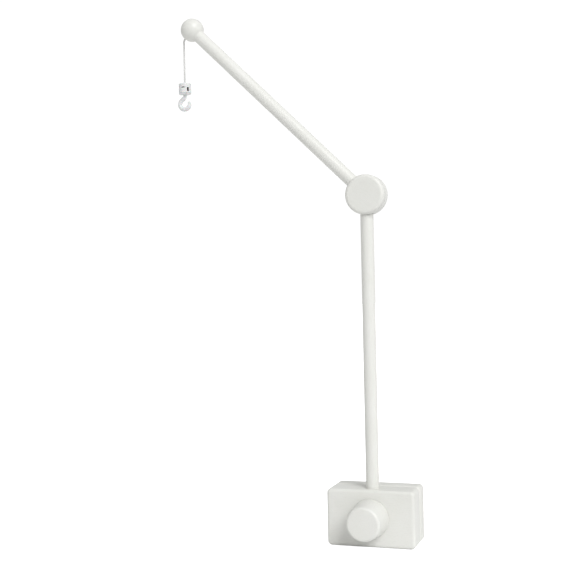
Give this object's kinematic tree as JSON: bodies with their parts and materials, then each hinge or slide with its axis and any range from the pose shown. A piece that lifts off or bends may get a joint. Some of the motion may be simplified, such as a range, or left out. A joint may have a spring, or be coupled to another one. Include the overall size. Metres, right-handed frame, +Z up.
{
  "type": "crib mobile holder",
  "caption": "Wooden crib mobile arm: a block clamp with a cone knob, a post, a tilting arm on a disc elbow, and a cord with a turning hook at its ball end.",
  "frame": {"origin": "on the floor under the middle of the closed clamp, in the plane of the blocks' bottom faces", "axes": "+Z up along the post, +X to the right seen from the knob's side, so the arm reaches towards -X, +Y from the knob to the back jaw"},
  "size_m": [0.3397, 0.1049, 0.7447],
  "materials": {
    "painted_wood": "satin off-white paint over turned and sawn beech",
    "bare_beech": "sanded bare beech",
    "zinc_steel": "bright zinc plating",
    "insert_brass": "machined brass",
    "pad_felt": "pressed wool felt",
    "washer_rubber": "black rubber",
    "bearing_black": "black acetal",
    "white_plastic": "moulded white plastic",
    "white_cord": "braided white cord"
  },
  "bodies": {
    "stand": {"front_block": "painted_wood", "front_pad": "pad_felt", "post": "painted_wood", "post_screw": "zinc_steel", "rear_disc": "painted_wood", "friction_washer": "washer_rubber", "pivot_bush": "insert_brass", "pivot_washer": "zinc_steel", "pivot_cap": "painted_wood", "knob_washer": "zinc_steel"},
    "knob": {"clamp_knob": "painted_wood", "knob_insert": "insert_brass"},
    "jaw": {"back_block": "painted_wood", "back_pad": "pad_felt", "clamp_bolt": "zinc_steel", "bolt_plug": "painted_wood", "guide_pins": "bare_beech"},
    "arm": {"front_disc": "painted_wood", "pivot_stud": "zinc_steel", "spring_washer": "zinc_steel", "pivot_nut": "zinc_steel", "arm": "painted_wood", "end_ball": "painted_wood", "stopper_knot": "white_cord"},
    "pendant": {"cord": "white_cord", "swivel_knot": "white_cord", "swivel_housing": "white_plastic", "swivel_bush": "bearing_black", "swivel_washer": "zinc_steel", "swivel_cap": "white_plastic"},
    "hook": {"hook": "white_plastic"}
  },
  "joints": [
    {"name": "knob_turn", "type": "hinge", "parent": "stand", "child": "knob", "pos_m": [0, -0.0326, 0.04], "axis": [0, -1, 0], "range_deg": [0, 6912]},
    {"name": "jaw_slide", "type": "slide", "parent": "stand", "child": "jaw", "axis": [0, 1, 0], "range_m": [0, 0.024]},
    {"name": "arm_tilt", "type": "hinge", "parent": "stand", "child": "arm", "pos_m": [0, -0.015, 0.479], "axis": [0, 1, 0], "range_deg": [-90, 40]},
    {"name": "cord_plumb", "type": "hinge", "parent": "arm", "child": "pendant", "pos_m": [-0.2671, -0.015, 0.7144], "axis": [0, 1, 0], "range_deg": [-40, 90]},
    {"name": "hook_spin", "type": "hinge", "parent": "pendant", "child": "hook", "pos_m": [-0.2671, -0.015, 0.6367], "axis": [0, 0, 1], "continuous": true}
  ],
  "couplings": [
    {"joint": "jaw_slide", "follows": "knob_turn", "m_per_rad": 0.00019894},
    {"joint": "cord_plumb", "follows": "arm_tilt", "ratio": -1}
  ]
}
